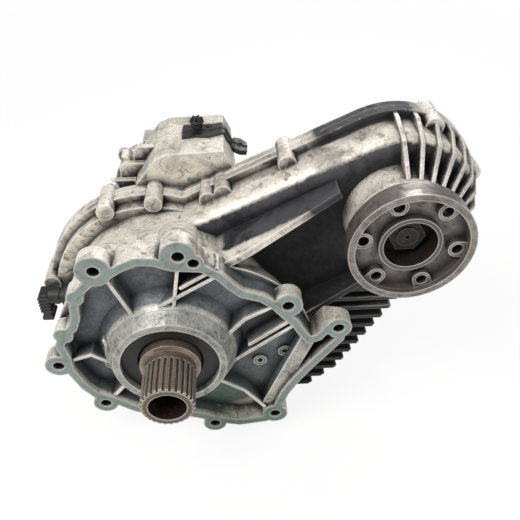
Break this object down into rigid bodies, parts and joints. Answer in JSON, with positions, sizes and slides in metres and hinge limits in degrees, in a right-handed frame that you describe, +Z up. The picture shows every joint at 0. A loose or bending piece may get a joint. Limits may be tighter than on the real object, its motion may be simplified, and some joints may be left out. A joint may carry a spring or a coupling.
{
  "type": "transfer case",
  "caption": "Transfer case with ribbed aluminium castings, hollow input shaft, planetary reduction, chain drive to an offset front output flange and an in-line rear output flange.",
  "frame": {"origin": "centre of the input shaft's bore, in the plane of the gearbox mating face", "axes": "-Y along the input axis towards the gearbox, +Z up, +X towards the side of the front output flange"},
  "size_m": [0.4399, 0.3235, 0.3217],
  "materials": {
    "case_casting": "as cast, sand texture, machined at the joints",
    "bearing_steel": "ground",
    "gear_steel": "hardened and oiled",
    "shaft_steel": "machined with a brown film",
    "flange_steel": "turned forging",
    "chain_steel": "oiled",
    "fork_alloy": "die cast",
    "seal_rubber": "moulded",
    "bolt_steel": "zinc plated",
    "bracket_paint": "black paint",
    "black_plastic": "moulded",
    "magnet": "sintered"
  },
  "bodies": {
    "case": {"front_case": "case_casting", "rear_case": "case_casting", "extension_housing": "case_casting", "input_bearing": "bearing_steel", "front_output_bearing": "bearing_steel", "rear_bearing": "bearing_steel", "input_seal": "seal_rubber", "front_output_seal": "seal_rubber", "rear_seal": "seal_rubber", "front_output_rear_bearing": "bearing_steel", "ring_gear": "gear_steel", "drive_chain": "chain_steel", "oil_pump": "fork_alloy", "oil_pickup": "black_plastic", "sump_magnet": "magnet", "case_bolts": "bolt_steel", "extension_bolts": "bolt_steel", "drain_plug": "bolt_steel", "fill_plug": "bolt_steel", "shift_motor": "fork_alloy", "motor_bolts": "bolt_steel", "harness_bracket": "bracket_paint", "breather": "black_plastic", "position_switch": "black_plastic"},
    "input": {"input_shaft": "shaft_steel", "input_bearing_race": "bearing_steel", "bore_plug": "bolt_steel"},
    "carrier": {"planet_carrier": "gear_steel", "planet_pins": "bearing_steel"},
    "planet_1": {"planet_gear_1": "gear_steel"},
    "planet_2": {"planet_gear_2": "gear_steel"},
    "planet_3": {"planet_gear_3": "gear_steel"},
    "planet_4": {"planet_gear_4": "gear_steel"},
    "main": {"main_shaft": "gear_steel", "pilot_bearing": "bearing_steel", "sprocket_needles": "bearing_steel", "mode_hub": "gear_steel", "rear_bearing_race": "bearing_steel", "pump_rotor": "gear_steel", "rear_output_flange": "flange_steel", "rear_flange_nut": "bolt_steel"},
    "chain_drive": {"drive_sprocket": "gear_steel"},
    "front_output": {"front_output_shaft": "gear_steel", "driven_sprocket": "gear_steel", "front_output_bearing_race": "bearing_steel", "front_output_flange": "flange_steel", "front_flange_nut": "bolt_steel"},
    "range_collar": {"range_sleeve": "gear_steel"},
    "range_selector": {"range_fork": "fork_alloy"},
    "selector": {"shift_shaft": "gear_steel"},
    "mode_selector": {"mode_fork": "fork_alloy"},
    "mode_collar": {"mode_sleeve": "gear_steel"}
  },
  "joints": [
    {"name": "input_spin", "type": "hinge", "parent": "case", "child": "input", "pos_m": [0, 0, 0], "axis": [0, 1, 0], "continuous": true},
    {"name": "carrier_spin", "type": "hinge", "parent": "case", "child": "carrier", "pos_m": [0, 0, 0], "axis": [0, 1, 0], "continuous": true},
    {"name": "planet_1_spin", "type": "hinge", "parent": "carrier", "child": "planet_1", "pos_m": [0.04025, 0, 0], "axis": [0, 1, 0], "continuous": true},
    {"name": "planet_2_spin", "type": "hinge", "parent": "carrier", "child": "planet_2", "pos_m": [0, 0, 0.04025], "axis": [0, 1, 0], "continuous": true},
    {"name": "planet_3_spin", "type": "hinge", "parent": "carrier", "child": "planet_3", "pos_m": [-0.04025, 0, 0], "axis": [0, 1, 0], "continuous": true},
    {"name": "planet_4_spin", "type": "hinge", "parent": "carrier", "child": "planet_4", "pos_m": [0, 0, -0.04025], "axis": [0, 1, 0], "continuous": true},
    {"name": "main_spin", "type": "hinge", "parent": "case", "child": "main", "pos_m": [0, 0, 0], "axis": [0, 1, 0], "continuous": true},
    {"name": "chain_sprocket_spin", "type": "hinge", "parent": "case", "child": "chain_drive", "pos_m": [0, 0, 0], "axis": [0, 1, 0], "continuous": true, "deforming": ["drive_chain"]},
    {"name": "front_output_spin", "type": "hinge", "parent": "case", "child": "front_output", "pos_m": [0.21862, 0, 0.11634], "axis": [0, 1, 0], "continuous": true},
    {"name": "selector_turn", "type": "hinge", "parent": "case", "child": "selector", "pos_m": [-0.036, 0, 0.074], "axis": [0, 1, 0], "range_deg": [0, 60]},
    {"name": "range_fork_slide", "type": "slide", "parent": "case", "child": "range_selector", "axis": [0, 1, 0], "range_m": [0, 0.012]},
    {"name": "range_sleeve_slide", "type": "slide", "parent": "main", "child": "range_collar", "axis": [0, 1, 0], "range_m": [0, 0.012]},
    {"name": "mode_fork_slide", "type": "slide", "parent": "case", "child": "mode_selector", "axis": [0, 1, 0], "range_m": [0, 0.01]},
    {"name": "mode_sleeve_slide", "type": "slide", "parent": "main", "child": "mode_collar", "axis": [0, 1, 0], "range_m": [0, 0.01]}
  ],
  "couplings": [
    {"joint": "carrier_spin", "follows": "input_spin", "ratio": 0.36956},
    {"joint": "planet_1_spin", "follows": "input_spin", "ratio": -1.7862},
    {"joint": "planet_2_spin", "follows": "input_spin", "ratio": -1.7862},
    {"joint": "planet_3_spin", "follows": "input_spin", "ratio": -1.7862},
    {"joint": "planet_4_spin", "follows": "input_spin", "ratio": -1.7862},
    {"joint": "main_spin", "follows": "input_spin", "ratio": 1},
    {"joint": "chain_sprocket_spin", "follows": "input_spin", "ratio": 1},
    {"joint": "front_output_spin", "follows": "input_spin", "ratio": 1},
    {"joint": "range_fork_slide", "follows": "range_sleeve_slide", "ratio": 1},
    {"joint": "selector_turn", "follows": "range_sleeve_slide", "rad_per_m": 87.266},
    {"joint": "mode_sleeve_slide", "follows": "mode_fork_slide", "ratio": 1}
  ]
}
